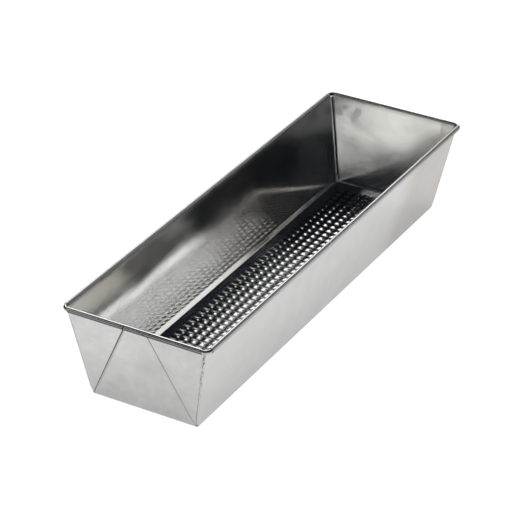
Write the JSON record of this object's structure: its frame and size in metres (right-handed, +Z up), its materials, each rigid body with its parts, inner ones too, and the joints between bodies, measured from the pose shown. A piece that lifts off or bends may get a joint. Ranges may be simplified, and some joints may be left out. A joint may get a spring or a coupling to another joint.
{
  "type": "loaf tin",
  "caption": "Long flared loaf tin folded from one sheet of bright tinplate, with gussets laid against its end walls, a waffled bottom and a rolled rim that closes round a steel wire.",
  "frame": {"origin": "middle of the underside, on the surface that the tin stands on", "axes": "+X along the tin, +Y across it, +Z up through its open top"},
  "size_m": [0.3536, 0.107, 0.0657],
  "materials": {
    "tinplate": "bright rolled tinplate, semi-gloss, faint mottling",
    "steel_wire": "tinned drawn wire, semi-gloss"
  },
  "bodies": {
    "root": {"folded_sheet": "tinplate", "rim_wire": "steel_wire"}
  },
  "joints": []
}
